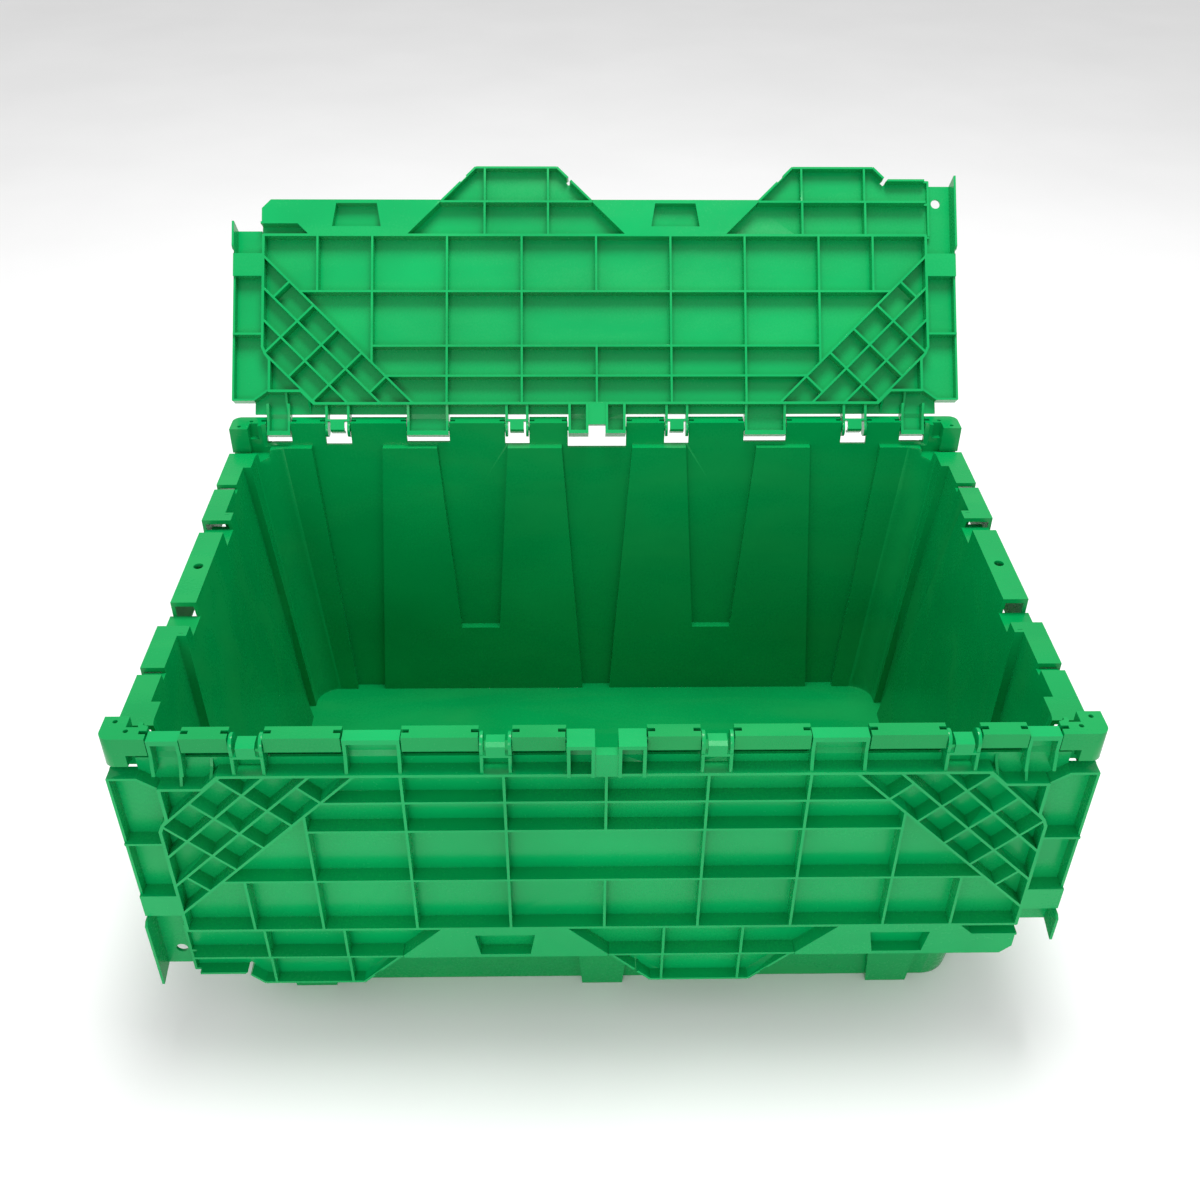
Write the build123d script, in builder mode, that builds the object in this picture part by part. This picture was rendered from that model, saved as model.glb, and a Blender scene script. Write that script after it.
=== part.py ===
"""Attached lid tote: one moulded tub and two identical interlocking lids on moulded hinge pins.

Origin at the bottom centre of the tub, +Z up, +X along the length, +Y across to the back.
The rest pose has the back lid open and leaning back, and the front lid hanging down outside.
"""
from build123d import *
from math import cos, radians, sin
import os

# ---- driving dimensions, millimetres -------------------------------------------------
LENGTH, WIDTH, HEIGHT = 686.0, 451.0, 305.0
WALL = 3.0                      # tub wall
RIB = 2.0                       # lid rib
PANEL_STEP = 7.0                # how far the wall panels stand in from the channels
FLOOR_Z = 6.0                   # top of the tub floor

# inside of the tub, half sizes at the channels, at the floor and at the top
FLOOR_X, FLOOR_Y = 297.0, 189.0
MOUTH_X, MOUTH_Y = 327.0, 213.1
CORNER_R = 22.0

# hinge line
HINGE_INSET, HINGE_DROP = 7.0, 9.0        # axis in from the long edge, and below the top
HINGE_Y, HINGE_Z = WIDTH / 2 - HINGE_INSET, HEIGHT - HINGE_DROP
PIN_R, PIN_REACH = 2.0, 4.6               # lid pins, and how far they stand out of the ears
SOCKET_R, SOCKET_DEPTH = 2.08, 5.0        # running fit in the block ends
SOCKET_MOUTH = 3.4                        # snap-in slot above each socket, narrower than the pin
BLOCK_HEIGHT = 12.5
BLOCKS = [(28, 64), (87, 139), (180, 232), (256, 288)]    # spans of the hinge blocks
BOX_CUT_Z, SNAP_CUT_Z, CENTRE_CUT_Z = 285.4, 283.0, 280.0    # rim levels behind the knuckles
KNUCKLE_CUT_Y = (207.0, 227.0)
GAP = 0.6                                 # side gap between a knuckle and a block
BOX_KNUCKLES = [(8, 27), (140, 179), (288.6, 310.4)]
SNAP_KNUCKLES = [(64.6, 86.4), (232.6, 255.4)]

# wall panels and the channels between them
PANEL_TOP_Z = 283.0                       # ledge on top of the side panels
SIDE_CHANNELS = [-236.0, -118.0, 0.0, 118.0, 236.0]
POCKET_X, POCKET_Z = 118.0, 82.0          # these channels stop at a ledge above the floor
END_CHANNEL_TOP, END_CHANNEL_FOOT = (84.0, 165.0), (138.0, 155.0)

# corner posts and end rims
POST_X, POST_Y, POST_HEIGHT = 326.0, 202.0, 25.0
POST_SHELF_X, POST_SHELF_HEIGHT = 311.0, 15.0
POST_FILLET, CORNER_WALL_Y = 8.0, 208.2
LAND_Z, CENTRE_Z, NOTCH_Z, GROOVE_Z = 286.0, 290.0, 276.5, 281.0
SEAL_X, SEAL_R = 328.0, 4.0               # security seal hole, on the centre line
SKIRT_Z, SLAB = 252.0, 4.0                # lower edge of the end skirts, thickness of the rim
RIM_SEGMENTS = [                          # along y from the middle: start, end, top, inner x, outer x
    (0.0, 50.0, CENTRE_Z, 317.6, 338.6),
    (50.0, 75.0, NOTCH_Z, 317.6, 341.0),
    (75.0, 84.0, LAND_Z, 317.6, 343.0),
    (84.0, 126.0, LAND_Z, 325.0, 343.0),
    (126.0, 134.0, GROOVE_Z, 324.6, 341.0),
    (134.0, 165.0, LAND_Z, 325.0, 343.0),
    (165.0, 190.0, LAND_Z, 318.8, 343.0),
    (190.0, 214.8, NOTCH_Z, 300.0, 343.0),
]
RIM_CUT_X = 308.0                         # the end rims are cut down from here outward
SKIRT_GUSSETS, GUSSET_X = [50.0, 80.0, 130.0, 190.0], (313.0, 337.0)
POST_HOLES, POST_HOLE_R = [(8.3, 18.2), (17.9, 8.4)], 1.8

# lid, measured from its hinge axis: x along the hinge, v to the free edge, w up
REACH = HINGE_Y                           # hinge axis to the centre line of the tote
PLATE = 2.5                               # lid skin
DEPTH = 12.0                              # ribs below the skin
TOOTH_DEPTH = 9.4                         # ribs of the part that laps over the other lid
SHELF_T = 2.0                             # shelves that carry the other lid's teeth
SHELF_V = REACH - 0.7
FIELD_WALL = 2.4
EDGE_V = 14.0                             # hinge side edge of the skin
FRONT_V = 22.0                            # wall at the hinge side of the rib field
RIB_V = [48.2, 76.9, 129.3]               # long ribs
MAIN_V = 183.6                            # wall between rib field and shelves
RIB_X = [70.7, 141.4, 212.0, 263.7]       # cross ribs
FIELD_X = 314.7                           # end walls of the rib field
DIAGONALS = [151.0, 181.4, 212.0, 242.5]  # corner lattice: x - v along these ribs
CROSSES = [(246.0, 0, 1), (291.6, 0, 3), (337.2, 0, 3), (382.8, 0, 3), (428.4, 0, 1)]
TOOTH_PITCH = 151.4
TOOTH_TIP_V, TOOTH_TIP = 252.0, 39.0      # free end of a tooth, and its half width there
TOOTH_RIB_X, NOTCH_V, RIM_IN = 30.1, 240.2, 1.7
TEETH = [TOOTH_PITCH / 2, -1.5 * TOOTH_PITCH]
SHELVES = [-TOOTH_PITCH / 2, 1.5 * TOOTH_PITCH]
CORNER_X, CORNER_V, STEP_V = -320.5, 239.4, 196.4     # corner piece beside the outer tooth, and its seat
LONG_V, SHORT_V = 235.6, 190.9            # ends of the two side flanges
FLANGE_STEP_X, FLANGE_V = 323.0, 25.0     # where the flanges start, beside the corner posts
GROOVE_V, BLOCK_V, BLOCK_WIDE = REACH - 130.0, 154.9, 21.8
EAR_T, TONGUE, PAD = 2.4, 13.0, 18.0
KNUCKLE_V, COVER_W = -7.2, 3.4            # outer end and top of the box knuckles
BOX_FRONT_W, BOX_LIP_V = [-14.5, -7, -7], [-4, -3, -3]    # how deep each box is, and its front lip
LIP_T, LIP_W, DEEP_LIP_W = 2.0, -9.6, -18.0
BACK_OPEN, FRONT_OPEN = 130.0, 271.0      # lid angles from closed, in the rest pose

os.makedirs("parts", exist_ok=True)


# ---- tub -----------------------------------------------------------------------------
def tub_block(grow, inset, bottom):
    """Drafted block of the tub: grow is outward from the inner faces, inset from the channels."""
    slope_x = (MOUTH_X - FLOOR_X) / (HEIGHT - FLOOR_Z)
    slope_y = (MOUTH_Y - FLOOR_Y) / (HEIGHT - FLOOR_Z)
    with BuildPart() as block:
        for z in (bottom, HEIGHT):
            rise = z - FLOOR_Z
            size_x = 2 * (FLOOR_X + slope_x * rise + grow - inset)
            size_y = 2 * (FLOOR_Y + slope_y * rise + grow - inset)
            with BuildSketch(Plane.XY.offset(z)):
                RectangleRounded(size_x, size_y, CORNER_R + grow)
        loft()
    return block.part


def channel_zone(grow, bottom):
    """Where the walls stand out between the panels, and the band above the side panels."""
    low = bottom - 1.0
    ledge_z = PANEL_TOP_Z - grow
    with BuildPart() as zone:
        with BuildSketch(Plane.XZ):
            for centre in SIDE_CHANNELS:
                pocket = abs(centre) == POCKET_X
                foot = POCKET_Z - grow if pocket else low
                share = (foot - FLOOR_Z) / (ledge_z - FLOOR_Z)
                foot_half = 14.0 + 19.5 * share + grow
                with BuildLine():
                    Polyline((centre - foot_half, foot), (centre + foot_half, foot),
                             (centre + 33.5 + grow, ledge_z + 1), (centre - 33.5 - grow, ledge_z + 1),
                             close=True)
                make_face()
            with Locations((0, (ledge_z + HEIGHT) / 2)):
                Rectangle(2 * (MOUTH_X - 12 + grow), HEIGHT - ledge_z)
        extrude(amount=WIDTH / 2, both=True)
        with BuildSketch(Plane.YZ):
            for side in (-1, 1):
                with BuildLine():
                    Polyline((side * (END_CHANNEL_FOOT[0] - grow), low),
                             (side * (END_CHANNEL_FOOT[1] + grow), low),
                             (side * (END_CHANNEL_TOP[1] + grow), HEIGHT),
                             (side * (END_CHANNEL_TOP[0] - grow), HEIGHT), close=True)
                make_face()
        extrude(amount=LENGTH / 2, both=True)
    return zone.part


def tub_volume(grow, bottom):
    """Panels plus channels, as one solid: the cavity with grow 0, the outside with grow WALL."""
    with BuildPart() as channels:
        add(channel_zone(grow, bottom))
        add(tub_block(grow, 0.0, bottom), mode=Mode.INTERSECT)
    with BuildPart() as volume:
        add(tub_block(grow, PANEL_STEP, bottom))
        add(channels.part)
    return volume.part


def four_ways(x, y):
    """The point and its mirror images in both middle planes."""
    return [(sx * x, sy * y) for sx in (-1, 1) for sy in (-1, 1)]


def four_rectangles(x_span, y_span):
    """Rectangles in the current sketch at the four mirror images of one span."""
    with Locations(*four_ways(sum(x_span) / 2, sum(y_span) / 2)):
        Rectangle(x_span[1] - x_span[0], y_span[1] - y_span[0])


# end rims: slabs with a skirt hanging from their outer edge, and gussets between
with BuildPart() as end_rims:
    for start, stop, top, inner_x, outer_x in RIM_SEGMENTS:
        with BuildSketch(Plane.XY.offset(top)):
            four_rectangles((inner_x, outer_x), (start, stop))
        extrude(amount=-SLAB)
        with BuildSketch(Plane.XY.offset(top)):
            four_rectangles((outer_x - WALL, outer_x), (start, stop))
        extrude(amount=SKIRT_Z - top)
    with BuildSketch(Plane.XY.offset(NOTCH_Z - 1)):
        for gusset_y in SKIRT_GUSSETS:
            four_rectangles(GUSSET_X, (gusset_y - WALL / 2, gusset_y + WALL / 2))
    extrude(amount=SKIRT_Z - NOTCH_Z + 1)

# hinge blocks along the long rims, and the corner posts
with BuildPart() as hinge_blocks:
    with BuildSketch(Plane.XY.offset(HEIGHT)):
        for start, stop in BLOCKS:
            four_rectangles((start, stop), (MOUTH_Y, WIDTH / 2))
    extrude(amount=-BLOCK_HEIGHT)
    with BuildSketch(Plane.XY.offset(HEIGHT)):
        four_rectangles((POST_SHELF_X, POST_X + 1), (MOUTH_Y, WIDTH / 2))
    extrude(amount=-POST_SHELF_HEIGHT)
    with BuildSketch(Plane.XY.offset(HEIGHT)):
        four_rectangles((POST_X, LENGTH / 2), (POST_Y, WIDTH / 2))
    extrude(amount=-POST_HEIGHT)
    outer = hinge_blocks.edges().filter_by(Axis.Z).filter_by(
        lambda edge: abs(edge.center().X) > LENGTH / 2 - 1 and abs(edge.center().Y) > WIDTH / 2 - 1)
    fillet(outer, POST_FILLET)
    # wall in the corner below the post shelf
    with BuildSketch(Plane.XY.offset(HEIGHT - POST_SHELF_HEIGHT + 1)):
        four_rectangles((RIM_CUT_X, POST_X + 1), (CORNER_WALL_Y, RIM_SEGMENTS[-1][1]))
    extrude(amount=NOTCH_Z - SLAB - HEIGHT + POST_SHELF_HEIGHT - 1)

# everything taken out of the moulding: above the end rims, behind the knuckles, holes and slots
with BuildPart() as cutters:
    for start, stop, top, inner_x, outer_x in RIM_SEGMENTS:
        with BuildSketch(Plane.XY.offset(top)):
            four_rectangles((RIM_CUT_X, LENGTH / 2 + 1), (start, min(stop, POST_Y)))
        extrude(amount=HEIGHT + 1 - top)
    with BuildSketch(Plane.XY.offset(NOTCH_Z)):
        four_rectangles((RIM_CUT_X, POST_X), (POST_Y - 1, CORNER_WALL_Y))
    extrude(amount=HEIGHT + 1 - NOTCH_Z)
    with BuildSketch(Plane.XY.offset(HEIGHT - POST_SHELF_HEIGHT + 1)):
        four_rectangles((RIM_CUT_X, POST_SHELF_X), (CORNER_WALL_Y - 1, MOUTH_Y))
    extrude(amount=POST_SHELF_HEIGHT)
    for knuckles, cut_z in ((BOX_KNUCKLES[1:], BOX_CUT_Z), (SNAP_KNUCKLES, SNAP_CUT_Z)):
        with BuildSketch(Plane.XY.offset(cut_z)):
            for start, stop in knuckles:
                four_rectangles((start - GAP, stop + GAP), KNUCKLE_CUT_Y)
        extrude(amount=HEIGHT + 1 - cut_z)
    with BuildSketch(Plane.XY.offset(CENTRE_CUT_Z)):
        with Locations((0, -sum(KNUCKLE_CUT_Y) / 2), (0, sum(KNUCKLE_CUT_Y) / 2)):
            Rectangle(2 * (BOX_KNUCKLES[0][1] + GAP), KNUCKLE_CUT_Y[1] - KNUCKLE_CUT_Y[0])
    extrude(amount=HEIGHT + 1 - CENTRE_CUT_Z)
    # sockets for the lid pins in the block ends, each with its snap-in slot
    left_faces = [start for start, _ in BLOCKS] + [POST_SHELF_X]
    right_faces = [stop for _, stop in BLOCKS]
    sockets = left_faces + [x - SOCKET_DEPTH for x in right_faces]
    sockets += [-x - SOCKET_DEPTH for x in sockets]
    with BuildSketch(*[Plane.YZ.offset(x) for x in sockets]):
        with Locations((-HINGE_Y, HINGE_Z), (HINGE_Y, HINGE_Z)):
            Circle(SOCKET_R)
    extrude(amount=SOCKET_DEPTH)
    with BuildSketch(Plane.XY.offset(HINGE_Z)):
        for x in sockets:
            with Locations(*[(x + SOCKET_DEPTH / 2, side * HINGE_Y) for side in (-1, 1)]):
                Rectangle(SOCKET_DEPTH, SOCKET_MOUTH)
    extrude(amount=HEIGHT + 1 - HINGE_Z)
    # small round holes in the post tops
    with BuildSketch(Plane.XY.offset(HEIGHT)):
        for inset_x, inset_y in POST_HOLES:
            with Locations(*four_ways(LENGTH / 2 - inset_x, WIDTH / 2 - inset_y)):
                Circle(POST_HOLE_R)
    extrude(amount=-6.0)
    # seal holes through the middle of the end rims
    with BuildSketch(Plane.XY.offset(CENTRE_Z)):
        with Locations((-SEAL_X, 0), (SEAL_X, 0)):
            Circle(SEAL_R)
    extrude(amount=-2 * SLAB)
    # underside: a shallow recess with a grid of stiffening ribs left standing
    with BuildSketch(Plane.XY):
        RectangleRounded(2 * (FLOOR_X - 21), 2 * (FLOOR_Y - 21), 14.0)
        with GridLocations(69.0, 0, 7, 1):
            Rectangle(RIB, 2 * FLOOR_Y, mode=Mode.SUBTRACT)
        with GridLocations(0, 56.0, 1, 5):
            Rectangle(2 * FLOOR_X, RIB, mode=Mode.SUBTRACT)
    extrude(amount=FLOOR_Z / 2)

with BuildPart() as tote_body:
    add(tub_volume(WALL, 0.0))
    add(end_rims.part)
    add(hinge_blocks.part)
    add(tub_volume(0.0, FLOOR_Z), mode=Mode.SUBTRACT)
    add(cutters.part, mode=Mode.SUBTRACT)
tote_body.part.label = "tote_body"
export_step(tote_body.part, "parts/tote_body.step")


# ---- lids ----------------------------------------------------------------------------
def rib_between(start, end, thick=RIB):
    """Rectangle in the current sketch from point to point, squared past both ends by half a rib."""
    a, b = Vector(*start), Vector(*end)
    run = b - a
    middle = (a + b) / 2
    angle = Vector(1, 0).get_signed_angle(run, Vector(0, 0, 1))
    with Locations(Location((middle.X, middle.Y, 0), (0, 0, angle))):
        Rectangle(run.length + thick / 2, thick)


def outline(*points):
    """Closed face through the points, in the current sketch."""
    with BuildLine() as edge:
        Polyline(*points, close=True)
    make_face(edge.line)


def field_ribs():
    """Every rib of the field, as pairs of end points."""
    ribs = [((0, FRONT_V), (0, RIB_V[1])), ((0, RIB_V[2]), (0, MAIN_V))]
    for s in (-1, 1):
        ribs += [((s * x, FRONT_V), (s * x, MAIN_V)) for x in RIB_X[:2]]
        ribs += [((s * RIB_X[2], RIB_X[2] - DIAGONALS[0]), (s * RIB_X[2], MAIN_V)),
                 ((s * RIB_X[3], RIB_V[2]), (s * RIB_X[3], MAIN_V))]
        for offset in DIAGONALS[:3]:
            ribs.append(((s * (offset + FRONT_V), FRONT_V), (s * FIELD_X, FIELD_X - offset)))
        ribs.append(((s * (DIAGONALS[3] + FRONT_V), FRONT_V), (s * 312.0, 312.0 - DIAGONALS[3])))
        for total, first, last in CROSSES:
            ends = [((total + DIAGONALS[i]) / 2, (total - DIAGONALS[i]) / 2) for i in (first, last)]
            ribs.append(tuple((s * x, v) for x, v in ends))
    for v, reach in ((RIB_V[0], RIB_V[0] + DIAGONALS[0]), (RIB_V[1], RIB_X[2]),
                     (RIB_V[2], RIB_V[2] + DIAGONALS[0])):
        ribs.append(((-reach, v), (reach, v)))
    return ribs


def field_walls():
    """Wall round the rib field, as pairs of end points; its corners step round the hinge corners."""
    walls = [((-266, FRONT_V), (266, FRONT_V)), ((-FIELD_X, MAIN_V), (FIELD_X, MAIN_V))]
    for s in (-1, 1):
        path = [(s * x, v) for x, v in ((266, FRONT_V), (278, 34), (308, 34), (308, 64), (312, 69.5),
                                        (FIELD_X, 76), (FIELD_X, MAIN_V))]
        walls += zip(path, path[1:])
    return walls


def tooth_half(v):
    """Half width of a tooth at v: its sides lean in at 45 degrees."""
    return TOOTH_TIP + TOOTH_TIP_V - v


def tooth_side(centre, s, v, inset=0.0):
    """Point on the left (s = -1) or right (s = 1) side of a tooth, or inset from it along x."""
    return (centre + s * (tooth_half(v) - inset), v)


def tooth_ribs(low_v, high_v):
    """Long ribs and sloping sides of both teeth between two distances from the hinge."""
    ribs = []
    for centre in TEETH:
        for s in (-1, 1):
            ribs.append(((centre + s * TOOTH_RIB_X, low_v), (centre + s * TOOTH_RIB_X, high_v)))
            start_v = max(low_v, CORNER_V) if (centre, s) == (TEETH[1], -1) else low_v
            if start_v < high_v:
                ribs.append((tooth_side(centre, s, start_v, RIM_IN), tooth_side(centre, s, high_v, RIM_IN)))
    return ribs


def make_lid(frame, label):
    """One lid, built in its own frame: hinge axis at the origin, closed side down."""
    def side_plane(x):
        return Plane(origin=frame.from_local_coords((x, 0, 0)), x_dir=frame.y_dir, z_dir=frame.x_dir)

    def both_sides(x):
        """Planes of an ear that starts at x, and of its mirror image."""
        return [side_plane(x), side_plane(-x - EAR_T)]

    top = frame.offset(PLATE)
    floor = frame.offset(-DEPTH)
    flanges = ((-1, LONG_V), (1, SHORT_V))
    with BuildPart() as lid:
        # skin of the lid, its side flanges, and the teeth that lap over the other lid
        with BuildSketch(top):
            outline((-FLANGE_STEP_X, EDGE_V), (-FLANGE_STEP_X, FLANGE_V), (-LENGTH / 2, FLANGE_V),
                    (-LENGTH / 2, LONG_V), (CORNER_X + 1, LONG_V), (CORNER_X + 1, MAIN_V + 1),
                    (-CORNER_X - 2, MAIN_V + 1), (-CORNER_X - 2, SHORT_V), (LENGTH / 2, SHORT_V),
                    (LENGTH / 2, FLANGE_V), (FLANGE_STEP_X, FLANGE_V), (FLANGE_STEP_X, EDGE_V))
            for centre in TEETH:
                outline(tooth_side(centre, -1, MAIN_V), tooth_side(centre, -1, TOOTH_TIP_V),
                        tooth_side(centre, 1, TOOTH_TIP_V), tooth_side(centre, 1, MAIN_V))
            with Locations(((CORNER_X + TEETH[1]) / 2, (MAIN_V + CORNER_V) / 2)):
                Rectangle(TEETH[1] - CORNER_X, CORNER_V - MAIN_V)
            outline((270, MAIN_V), (283, STEP_V), (318, STEP_V), (318, MAIN_V))
            with Locations((-SEAL_X, REACH)):
                Circle(SEAL_R + 0.5, mode=Mode.SUBTRACT)
        extrude(amount=-PLATE)
        # full-depth ribs and the wall round them
        with BuildSketch(frame):
            for start, end in field_ribs() + tooth_ribs(MAIN_V, SHELF_V - 1.6):
                rib_between(start, end)
            for start, end in field_walls():
                rib_between(start, end, FIELD_WALL)
            for centre in TEETH:
                left = -FIELD_X if centre == TEETH[1] else centre - tooth_half(SHELF_V) + RIM_IN
                rib_between((left, SHELF_V - 1.6), (centre + tooth_half(SHELF_V) - RIM_IN, SHELF_V - 1.6))
            for s in (-1, 1):
                rib_between((s * FIELD_X, GROOVE_V), (s * (LENGTH / 2 - 1), GROOVE_V))
        extrude(amount=-DEPTH)
        # ribs of the teeth beyond the centre line, which clear the other lid's shelves
        with BuildSketch(frame):
            for start, end in tooth_ribs(SHELF_V - 1.6, TOOTH_TIP_V - RIM_IN):
                rib_between(start, end)
            for centre in TEETH:
                rib_between((centre - TOOTH_TIP + 1, TOOTH_TIP_V - RIM_IN),
                            (centre + TOOTH_TIP - 1, TOOTH_TIP_V - RIM_IN))
            rib_between((TEETH[1] - tooth_half(CORNER_V), CORNER_V - 1), (-FIELD_X, CORNER_V - 1))
        extrude(amount=-TOOTH_DEPTH)
        # outer wall of the corner piece, which rests over the raised centre land
        with BuildSketch(frame):
            rib_between((CORNER_X + 1, MAIN_V + 2), (CORNER_X + 1, CORNER_V - 1))
            rib_between((CORNER_X + 1, MAIN_V), (-FIELD_X, MAIN_V))
            rib_between((CORNER_X + 1, CORNER_V - 1), (-FIELD_X, CORNER_V - 1))
            rib_between((CORNER_X + 1, SHELF_V - 1.6), (-FIELD_X, SHELF_V - 1.6))
        extrude(amount=-4.6)
        # shelves at rib depth between the teeth
        with BuildSketch(floor):
            outline(tooth_side(TEETH[1], 1, MAIN_V, 1), tooth_side(TEETH[1], 1, SHELF_V, 1),
                    tooth_side(TEETH[0], -1, SHELF_V, 1), tooth_side(TEETH[0], -1, MAIN_V, 1))
            outline(tooth_side(TEETH[0], 1, MAIN_V, 1), tooth_side(TEETH[0], 1, SHELF_V, 1), (308, SHELF_V),
                    (316.4, SHELF_V - 8.4), (316.4, STEP_V), (283, STEP_V), (270, MAIN_V))
        extrude(amount=SHELF_T)
        with BuildSketch(floor):
            rib_between((270, MAIN_V), (283, STEP_V))
            rib_between((283, STEP_V - 0.8), (317, STEP_V - 0.8))
        extrude(amount=DEPTH)
        # raised bosses on the shelves, hollow from below, that fill the other lid's teeth
        with BuildSketch(floor):
            for centre in SHELVES:
                outline((centre - 25, 190), (centre - 20.8, 216.4),
                        (centre + 20.8, 216.4), (centre + 25, 190))
        extrude(amount=DEPTH - 0.8)
        with BuildSketch(floor):
            for centre in SHELVES:
                outline((centre - 23, 192), (centre - 19.2, 214.4),
                        (centre + 19.2, 214.4), (centre + 23, 192))
        extrude(amount=DEPTH - 2.6, mode=Mode.SUBTRACT)
        # notches in the tooth sides near their tips
        with BuildSketch(top):
            for centre in TEETH:
                for s in (-1, 1):
                    x, v = tooth_side(centre, s, NOTCH_V, -0.6)
                    with Locations(Location((x, v, 0), (0, 0, 45))):
                        Rectangle(3.6, 8.0)
        extrude(amount=-PLATE - TOOTH_DEPTH - 1, mode=Mode.SUBTRACT)
        # flange lips, deeper beside the centre land, and the blocks that drop into the rim notches
        with BuildSketch(frame):
            for s, end_v in flanges:
                x_out = s * (LENGTH / 2 - LIP_T / 2)
                rib_between((x_out, FLANGE_V + 1), (x_out, end_v - 0.6), LIP_T)
                rib_between((x_out, FLANGE_V + 1), (s * (FLANGE_STEP_X - 0.5), FLANGE_V + 1), LIP_T)
                rib_between((s * (FLANGE_STEP_X - 0.5), FLANGE_V + 1), (s * 308.5, 36), LIP_T)
        extrude(amount=LIP_W)
        for s, end_v in flanges:
            with BuildSketch(side_plane(s * (LENGTH / 2 - LIP_T / 2) - LIP_T / 2)):
                outline((168.8, 0), (168.8, DEEP_LIP_W + 3), (171.5, DEEP_LIP_W), (end_v + 4.0, DEEP_LIP_W),
                        (end_v, 0))
            extrude(amount=LIP_T)
        with BuildSketch(top):
            with Locations(*[(s * (FIELD_X + LENGTH / 2) / 2, BLOCK_V) for s in (-1, 1)]):
                Rectangle(LENGTH / 2 - FIELD_X, BLOCK_WIDE)
        extrude(amount=-PLATE - DEPTH)
        with BuildSketch(top):
            with Locations(*[(s * (FIELD_X + LENGTH / 2 - 0.8) / 2, BLOCK_V) for s in (-1, 1)]):
                Rectangle(LENGTH / 2 - FIELD_X - 5.2, BLOCK_WIDE - 4)
        extrude(amount=-PLATE - DEPTH + 2.0, mode=Mode.SUBTRACT)
        # box knuckles: two ears, a cover over the axis and an end plate with a front lip
        for (start, stop), front_w, lip_v in zip(BOX_KNUCKLES, BOX_FRONT_W, BOX_LIP_V):
            with BuildSketch(*both_sides(start), *both_sides(stop - EAR_T)):
                outline((KNUCKLE_V, COVER_W), (KNUCKLE_V, front_w), (6, front_w),
                        (FRONT_V, min(front_w, -11)), (FRONT_V, PLATE), (EDGE_V, PLATE),
                        (EDGE_V - 4, COVER_W))
            extrude(amount=EAR_T)
            with BuildSketch(side_plane(start), side_plane(-stop)):
                outline((KNUCKLE_V, COVER_W), (KNUCKLE_V, front_w), (lip_v, front_w), (lip_v, front_w + 2),
                        (KNUCKLE_V + 2, front_w + 2), (KNUCKLE_V + 2, COVER_W - 1.6),
                        (EDGE_V - 4, COVER_W - 1.6), (EDGE_V, 0), (EDGE_V, PLATE), (EDGE_V - 4, COVER_W))
            extrude(amount=stop - start)
        # snap knuckles: two round ears, and a hooked tongue on a cross bar between them
        snap_ears = [x for start, stop in SNAP_KNUCKLES for x in (start, stop - EAR_T)]
        with BuildSketch(*[plane for x in snap_ears for plane in both_sides(x)]):
            with Locations((0, -1.5)):
                Circle(7.8)
            outline((0, 5.5), (0, -8.5), (FRONT_V, -11), (FRONT_V, PLATE), (EDGE_V, PLATE))
        extrude(amount=EAR_T)
        for start, stop in SNAP_KNUCKLES:
            with BuildSketch(side_plane(start), side_plane(-stop)):
                outline((5.5, -9.5), (7.5, -9.5), (7.5, -4), (5.5, -4))
            extrude(amount=stop - start)
            middle = (start + stop) / 2
            with BuildSketch(side_plane(middle - TONGUE / 2), side_plane(-middle - TONGUE / 2)):
                outline((-4, 1.5), (-4, -6), (-2.5, -9.5), (6, -9.5),
                        (6, -7.5), (0, -7.5), (-2, -5), (-2, 1.5))
            extrude(amount=TONGUE)
        # pins on every ear that faces a block
        pins = [start - PIN_REACH for start, _ in BOX_KNUCKLES[1:] + SNAP_KNUCKLES]
        pins += [stop for _, stop in BOX_KNUCKLES + SNAP_KNUCKLES]
        with BuildSketch(*[side_plane(x) for x in pins], *[side_plane(-x - PIN_REACH) for x in pins]):
            Circle(PIN_R)
        extrude(amount=PIN_REACH)
        # gussets between the skin edge and the stepped wall in the corner
        for start, stop_v in ((291.5, 34.0), (270.0, 26.0)):
            with BuildSketch(side_plane(start), side_plane(-start - RIB)):
                outline((EDGE_V, 0.5), (stop_v, 0.5), (stop_v, -10), (EDGE_V + 6, -3))
            extrude(amount=RIB)
        # stiff pad between the two middle knuckles
        with BuildSketch(side_plane(-PAD / 2)):
            outline((1.5, -6), (1.5, -13.5), (FRONT_V, -13.5), (FRONT_V, -11.5), (3.5, -11.5), (3.5, -6))
        extrude(amount=PAD)
    lid.part.label = label
    export_step(lid.part, f"parts/{label}.step")


def lid_frame(side, opened):
    """Frame of the lid on the back (side 1) or the front (side -1), opened by an angle from closed."""
    turn = radians(opened)
    up = (0, side * sin(turn), cos(turn))
    return Plane(origin=(0, side * HINGE_Y, HINGE_Z), x_dir=(-side, 0, 0), z_dir=up)


make_lid(lid_frame(1, BACK_OPEN), "back_lid")
make_lid(lid_frame(-1, FRONT_OPEN), "front_lid")
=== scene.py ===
from math import cos, radians, sin

import bpy
from mathutils import Matrix, Vector


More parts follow.
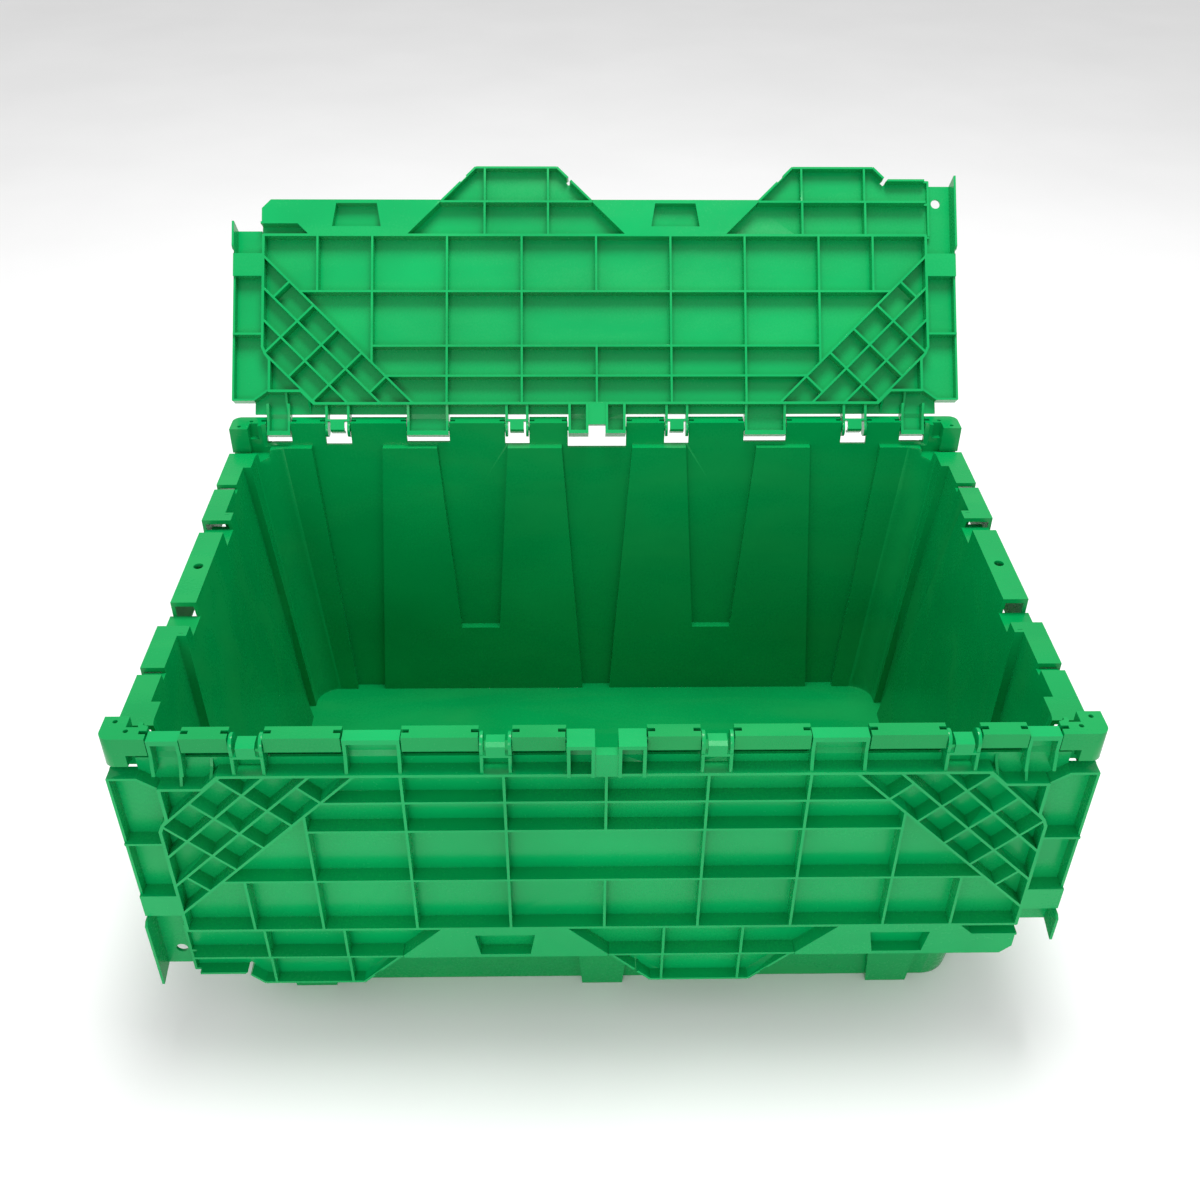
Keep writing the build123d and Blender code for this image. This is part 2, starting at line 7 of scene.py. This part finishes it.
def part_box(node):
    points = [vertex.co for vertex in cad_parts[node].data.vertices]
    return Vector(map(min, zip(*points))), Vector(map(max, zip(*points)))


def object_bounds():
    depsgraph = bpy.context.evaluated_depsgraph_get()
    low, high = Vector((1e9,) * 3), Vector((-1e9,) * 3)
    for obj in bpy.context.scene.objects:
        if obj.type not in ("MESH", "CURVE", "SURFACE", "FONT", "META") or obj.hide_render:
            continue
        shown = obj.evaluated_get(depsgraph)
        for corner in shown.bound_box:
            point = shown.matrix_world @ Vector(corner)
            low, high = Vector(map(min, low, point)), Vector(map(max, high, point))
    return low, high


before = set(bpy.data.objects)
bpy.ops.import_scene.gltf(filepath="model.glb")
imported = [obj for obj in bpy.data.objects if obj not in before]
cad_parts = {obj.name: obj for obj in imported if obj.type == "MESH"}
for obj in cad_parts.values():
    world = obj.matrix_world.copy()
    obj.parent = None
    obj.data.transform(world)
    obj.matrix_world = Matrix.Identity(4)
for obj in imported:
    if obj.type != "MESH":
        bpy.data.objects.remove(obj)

cad_low, cad_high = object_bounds()
tub_low, tub_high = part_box("tote_body")
TUB_MIDDLE = (0, 0, (tub_high.z - tub_low.z) / 2)        # what the lamps point at

FLOOR_REACH = 8.0               # half the side of the floor sheet
FLOOR_GAP = 0.0002              # the sheet lies this far under the tub
WELD_REACH = 0.00001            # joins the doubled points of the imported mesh
SHARP_EDGE = radians(40)        # edges that bend more than this are softened
TUB_EDGE, LID_EDGE = 0.0006, 0.0004                      # widths of the softened edges

# camera: turns in degrees, half of the view's angle, and place
PITCH, YAW, ROLL, HALF_VIEW = 36.22, 1.29, 0.53, 24.45
CAMERA_PLACE = (-0.02043, -0.88896, 0.90543)
SENSOR_MM = 36.0

# light: sky strength, then each lamp's place, side and watts
SKY_STRENGTH = 0.72
LAMP_OVERHEAD = ((0.1, 0.25, 2.4), 0.9, 46)
LAMP_FRONT = ((-0.4, -2.4, 1.0), 0.9, 19)


# ---- node helpers ----------------------------------------------------------------------
class Graph:
    """A material's node tree, with short calls that add a node and feed its inputs."""

    def __init__(self, name):
        self.material = bpy.data.materials.new(name)
        self.material.use_nodes = True
        self.nodes = self.material.node_tree.nodes
        self.links = self.material.node_tree.links
        self.nodes.clear()
        self.shader = self.add("ShaderNodeBsdfPrincipled")
        output = self.add("ShaderNodeOutputMaterial")
        self.links.new(self.shader.outputs["BSDF"], output.inputs["Surface"])
        self.place = self.add("ShaderNodeTexCoord").outputs["Object"]

    def add(self, kind, **inputs):
        """Node of this kind; each input is a value or the output socket that feeds it."""
        node = self.nodes.new(kind)
        for name, value in inputs.items():
            self.feed(node.inputs[name.replace("_", " ")], value)
        return node

    def feed(self, socket, value):
        """Links an output socket to an input, or sets the input to a plain value."""
        if isinstance(value, bpy.types.NodeSocket):
            self.links.new(value, socket)
        else:
            socket.default_value = value

    def noise(self, scale, detail, stretch=(1, 1, 1), distortion=0.0):
        """Noise over the object's own coordinates, in metres, so scale is features per metre."""
        mapping = self.add("ShaderNodeMapping", Vector=self.place, Scale=stretch)
        node = self.add("ShaderNodeTexNoise", Vector=mapping.outputs[0], Scale=scale, Detail=detail,
                        Distortion=distortion)
        return node.outputs["Fac"]

    def ramp(self, value, low, high, to_low=0.0, to_high=1.0):
        """The value's range from low to high, carried over to another range and clamped."""
        node = self.add("ShaderNodeMapRange", Value=value)
        for name, number in (("From Min", low), ("From Max", high), ("To Min", to_low), ("To Max", to_high)):
            node.inputs[name].default_value = number
        return node.outputs[0]

    def math(self, operation, a, b):
        """Two values joined by a named operation, such as ADD."""
        node = self.nodes.new("ShaderNodeMath")
        node.operation = operation
        self.feed(node.inputs[0], a)
        self.feed(node.inputs[1], b)
        return node.outputs[0]

    def mix(self, factor, a, b):
        """Colour a to colour b by the factor."""
        node = self.nodes.new("ShaderNodeMix")
        node.data_type = "RGBA"
        self.feed(node.inputs["Factor"], factor)
        self.feed(node.inputs[6], a)
        self.feed(node.inputs[7], b)
        return node.outputs[2]

    def bump(self, height, depth, strength, normal=None):
        """Normal bent by a height, up to a depth in metres, on top of another bump if one is given."""
        node = self.add("ShaderNodeBump", Height=height, Distance=depth, Strength=strength)
        if normal is not None:
            self.links.new(normal, node.inputs["Normal"])
        return node.outputs[0]


# ---- materials -------------------------------------------------------------------------
def moulded_plastic(name, pale, deep, roughness):
    """Semi-gloss green polypropylene: cloudy colour, flow marks, sink ripples and fine grain."""
    g = Graph(name)
    clouds = g.noise(9.0, 3.0)
    flow = g.noise(14.0, 4.0, stretch=(0.35, 1.6, 1.0), distortion=0.6)
    grain = g.noise(1400.0, 2.0)
    ripple = g.noise(34.0, 2.0)
    specks = g.noise(420.0, 3.0)
    tint = g.mix(g.ramp(clouds, 0.3, 0.7), deep, pale)
    streak = (pale[0] + 0.02, pale[1] * 1.12, pale[2] * 1.1, 1)
    tint = g.mix(g.ramp(flow, 0.45, 0.75, 0.0, 0.25), tint, streak)
    g.feed(g.shader.inputs["Base Color"], tint)
    smear = g.ramp(flow, 0.3, 0.7, roughness - 0.05, roughness + 0.07)
    worn = g.math("ADD", smear, g.ramp(specks, 0.4, 0.8, 0.0, 0.08))
    g.feed(g.shader.inputs["Roughness"], worn)
    sink = g.noise(11.0, 1.0)
    waves = g.bump(ripple, 0.0012, 0.3, g.bump(sink, 0.004, 0.25))
    g.feed(g.shader.inputs["Normal"], g.bump(grain, 0.00002, 0.5, waves))
    g.feed(g.shader.inputs["IOR"], 1.49)
    g.feed(g.shader.inputs["Specular IOR Level"], 0.24)
    return g.material


def studio_floor(name):
    """Matt pale paper, barely mottled."""
    g = Graph(name)
    mottle = g.ramp(g.noise(3.0, 3.0), 0.3, 0.7)
    paper = g.mix(mottle, (0.86, 0.86, 0.86, 1), (0.89, 0.89, 0.89, 1))
    g.feed(g.shader.inputs["Base Color"], paper)
    g.feed(g.shader.inputs["Roughness"], 0.9)
    g.feed(g.shader.inputs["Specular IOR Level"], 0.1)
    return g.material


# name, pale and deep colour, roughness
TUB_GREEN = moulded_plastic("tub_green", (0.0, 0.30, 0.072, 1), (0.0, 0.255, 0.06, 1), 0.24)
LID_GREEN = moulded_plastic("lid_green", (0.0, 0.36, 0.095, 1), (0.0, 0.30, 0.078, 1), 0.22)
# the brighter green of the softened edges is a painted highlight, standing in for the glints along the edges
PAINTED_EDGE_HIGHLIGHT = moulded_plastic("painted_edge_highlight", (0.02, 0.46, 0.15, 1), (0.01, 0.38, 0.11, 1), 0.16)


def dress(node, material, width):
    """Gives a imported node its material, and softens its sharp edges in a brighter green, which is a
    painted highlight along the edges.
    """
    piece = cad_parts[node]
    for held in piece.material_slots:
        held.material = material
    piece.data.materials.append(PAINTED_EDGE_HIGHLIGHT)
    weld = piece.modifiers.new("weld", "WELD")
    weld.merge_threshold = WELD_REACH
    soften = piece.modifiers.new("soften", "BEVEL")
    soften.width = width
    soften.segments = 2
    soften.limit_method = "ANGLE"
    soften.angle_limit = SHARP_EDGE
    # the softened edge faces get the brighter green: a painted highlight
    soften.material = len(piece.material_slots) - 1


dress("tote_body", TUB_GREEN, TUB_EDGE)
for lid in ("back_lid", "front_lid"):
    dress(lid, LID_GREEN, LID_EDGE)


# ---- floor, light and camera -----------------------------------------------------------
def floor_plane():
    """Square sheet under the tote."""
    mesh = bpy.data.meshes.new("floor")
    z = cad_low.z - FLOOR_GAP
    turns = ((-1, -1), (1, -1), (1, 1), (-1, 1))
    mesh.from_pydata([(a * FLOOR_REACH, b * FLOOR_REACH, z) for a, b in turns], [], [(0, 1, 2, 3)])
    plane = bpy.data.objects.new("floor", mesh)
    bpy.context.scene.collection.objects.link(plane)
    mesh.materials.append(studio_floor("studio_floor"))


def soft_box(name, place, side, watts):
    """Square area light at a place, facing the middle of the tub."""
    data = bpy.data.lights.new(name, "AREA")
    data.size = side
    data.energy = watts
    lamp = bpy.data.objects.new(name, data)
    lamp.location = place
    lamp.rotation_euler = (Vector(TUB_MIDDLE) - Vector(place)).to_track_quat("-Z", "Y").to_euler()
    bpy.context.scene.collection.objects.link(lamp)


def studio_light():
    """Even white sky, one soft box overhead and one in front."""
    world = bpy.data.worlds.new("studio")
    world.use_nodes = True
    sky = world.node_tree.nodes["Background"]
    sky.inputs["Color"].default_value = (1, 1, 1, 1)
    sky.inputs["Strength"].default_value = SKY_STRENGTH
    bpy.context.scene.world = world
    soft_box("overhead", *LAMP_OVERHEAD)
    soft_box("front", *LAMP_FRONT)


def photo_camera():
    """Camera in front of the tote, high up, looking down into it."""
    pitch, yaw, roll = radians(PITCH), radians(YAW), radians(ROLL)
    ahead = Vector((sin(yaw) * cos(pitch), cos(yaw) * cos(pitch), -sin(pitch)))
    level = Vector((cos(yaw), -sin(yaw), 0))
    above = level.cross(ahead)
    right = level * cos(roll) + above * sin(roll)
    up = above * cos(roll) - level * sin(roll)
    data = bpy.data.cameras.new("camera")
    data.sensor_width = SENSOR_MM
    data.angle = 2 * radians(HALF_VIEW)
    camera = bpy.data.objects.new("camera", data)
    facing = Matrix((right, up, -ahead)).transposed().to_4x4()
    camera.matrix_world = Matrix.Translation(CAMERA_PLACE) @ facing
    bpy.context.scene.collection.objects.link(camera)
    bpy.context.scene.camera = camera


floor_plane()
studio_light()
photo_camera()
bpy.context.scene.view_settings.view_transform = "Standard"
